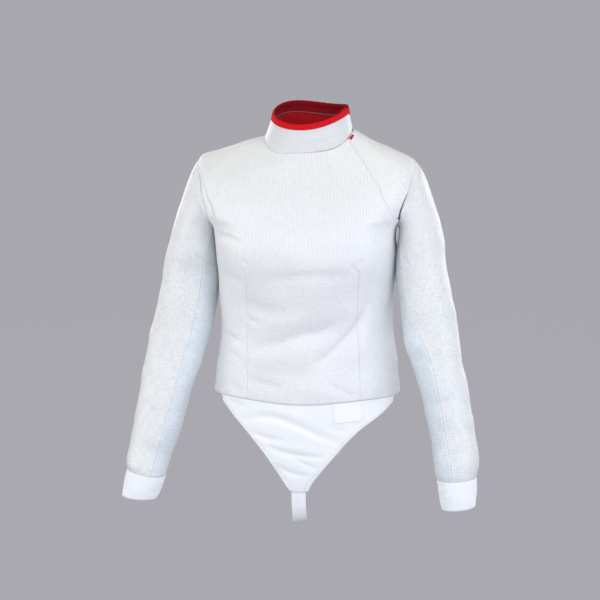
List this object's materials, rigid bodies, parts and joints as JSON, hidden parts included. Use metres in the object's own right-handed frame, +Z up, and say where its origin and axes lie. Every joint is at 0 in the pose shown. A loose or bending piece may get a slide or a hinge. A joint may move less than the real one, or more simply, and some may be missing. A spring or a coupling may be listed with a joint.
{
  "type": "fencing lame",
  "caption": "Long-sleeved conductive fencing jacket in hollow worn form, with stand collar, diagonal flap closing, cotton bib and elastic crotch strap.",
  "frame": {"origin": "middle of the neck seam, level with the inner ends of the shoulders, where the wearer's shoulders carry the jacket", "axes": "+Z up; -Y is where the wearer faces; +X is the wearer's left"},
  "size_m": [0.614, 0.2371, 0.7401],
  "materials": {
    "lame": "silvery white metallic weave with fine ribs, soft matt sheen",
    "white_cotton": "smooth white cotton, matt",
    "white_elastic": "white woven and ribbed elastic, matt",
    "red_tape": "bright red binding tape, slight sheen",
    "red_lining": "dark red lining, matt",
    "label_satin": "white satin ribbon, bare"
  },
  "bodies": {
    "root": {"front_panel": "lame", "left_front_panel": "lame", "back_panel": "lame", "sleeve_upper_r": "lame", "sleeve_upper_l": "lame", "sleeve_under_r": "lame", "sleeve_under_l": "lame", "gusset_r": "lame", "gusset_l": "lame", "cuff_r": "white_elastic", "cuff_l": "white_elastic", "collar": "lame", "collar_lining": "red_lining", "collar_binding": "red_tape", "collar_tab": "red_tape", "zip_tape_end": "red_tape", "bib": "white_cotton", "bib_binding_r": "white_cotton", "bib_binding_l": "white_cotton", "label": "label_satin", "crotch_strap": "white_elastic"}
  },
  "joints": []
}
